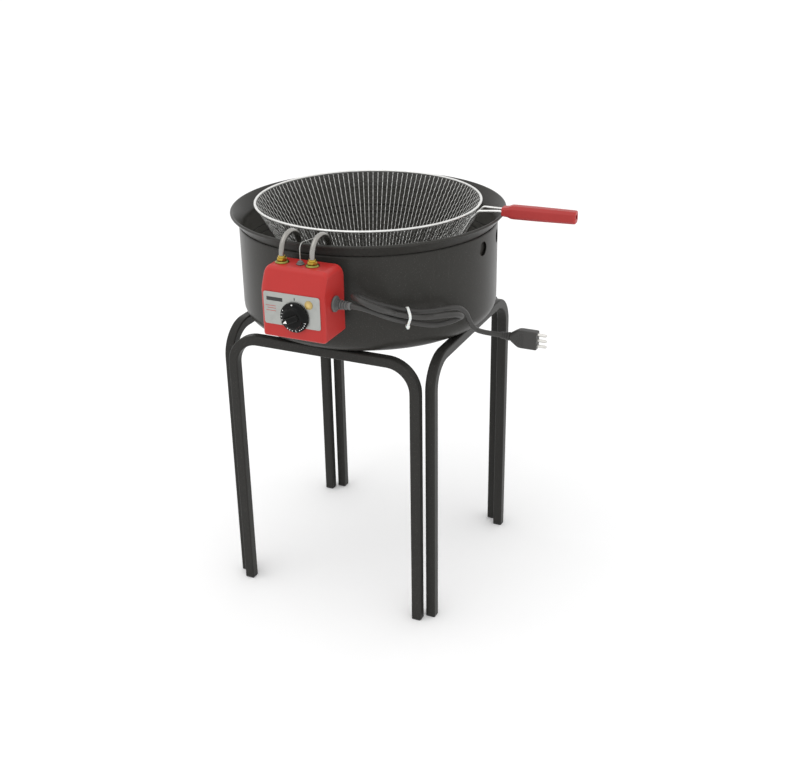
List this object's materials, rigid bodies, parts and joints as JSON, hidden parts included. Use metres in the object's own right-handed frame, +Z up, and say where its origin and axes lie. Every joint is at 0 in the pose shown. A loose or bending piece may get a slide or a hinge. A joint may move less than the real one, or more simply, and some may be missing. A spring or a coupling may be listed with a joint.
{
  "type": "deep fryer",
  "caption": "Round electric deep fryer: charcoal kettle with flared rim on a tubular stand, red control box with heating element over the rim, conical wire basket and folded mains cord.",
  "frame": {"origin": "on the floor, under the middle of the object without its cord", "axes": "+Z up, -Y out of the front of the control box, +X along the basket handle"},
  "size_m": [0.5578, 0.5238, 0.6565],
  "materials": {
    "kettle_enamel": "semi-gloss charcoal enamel",
    "stand_paint": "semi-gloss charcoal powder coat",
    "foot_plastic": "moulded dark plug",
    "satin_steel": "satin steel",
    "heater_steel": "satin drawn tube",
    "bright_wire": "bright drawn wire",
    "red_plastic": "smooth moulded red",
    "grip_plastic": "satin moulded red",
    "brass_fitting": "machined",
    "black_sleeve": "heat resistant sleeve",
    "grey_plastic": "moulded grey",
    "knob_plastic": "polished black",
    "white_plastic": "white",
    "tie_plastic": "natural nylon",
    "label_metal": "brushed anodised plate",
    "amber_lens": "clear amber lens",
    "cord_rubber": "flexible sheath",
    "pin_nickel": "plated"
  },
  "bodies": {
    "kettle": {"casing": "kettle_enamel", "oil_pan": "kettle_enamel", "foot_back_a": "foot_plastic", "foot_back_b": "foot_plastic", "foot_front_a": "foot_plastic", "foot_front_b": "foot_plastic", "foot_left_a": "foot_plastic", "foot_left_b": "foot_plastic", "foot_right_a": "foot_plastic", "foot_right_b": "foot_plastic", "stand_frame_back": "stand_paint", "stand_frame_front": "stand_paint", "stand_frame_left": "stand_paint", "stand_frame_right": "stand_paint", "stand_rivet_back": "satin_steel", "stand_rivet_front": "satin_steel", "stand_rivet_left": "satin_steel", "stand_rivet_right": "satin_steel"},
    "control_unit": {"box_back_plate": "satin_steel", "box_cover": "red_plastic", "capillary_gland": "grey_plastic", "capillary_tube": "heater_steel", "cord": "cord_rubber", "cord_tie": "tie_plastic", "element_foot_left_back": "heater_steel", "element_foot_left_front": "heater_steel", "element_foot_right_back": "heater_steel", "element_foot_right_front": "heater_steel", "element_nut_left": "brass_fitting", "element_nut_right": "brass_fitting", "element_sleeve_left": "black_sleeve", "element_sleeve_right": "black_sleeve", "element_washer_left": "brass_fitting", "element_washer_right": "brass_fitting", "heating_element": "heater_steel", "label_plate": "label_metal", "pilot_lamp": "amber_lens", "plug": "cord_rubber", "plug_pin_earth": "pin_nickel", "plug_pin_live": "pin_nickel", "plug_pin_neutral": "pin_nickel", "strain_relief": "grey_plastic", "terminal_block": "white_plastic", "thermostat_body": "grey_plastic", "thermostat_bulb": "heater_steel"},
    "knob": {"knob": "knob_plastic", "knob_pointer": "white_plastic", "thermostat_shaft": "satin_steel"},
    "basket": {"basket_grip": "grip_plastic", "basket_hoop": "bright_wire", "basket_mesh": "bright_wire", "basket_ring": "bright_wire", "basket_wire_back": "bright_wire", "basket_wire_front": "bright_wire"}
  },
  "joints": [
    {"name": "unit_lift", "type": "slide", "parent": "kettle", "child": "control_unit", "axis": [0, 0, 1], "range_m": [0, 0.18]},
    {"name": "basket_lift", "type": "slide", "parent": "control_unit", "child": "basket", "axis": [0, 0, 1], "range_m": [0, 0.18]},
    {"name": "knob_turn", "type": "hinge", "parent": "control_unit", "child": "knob", "pos_m": [-0.03841, -0.24808, 0.5485], "axis": [0, 1, 0], "range_deg": [0, 270]}
  ]
}
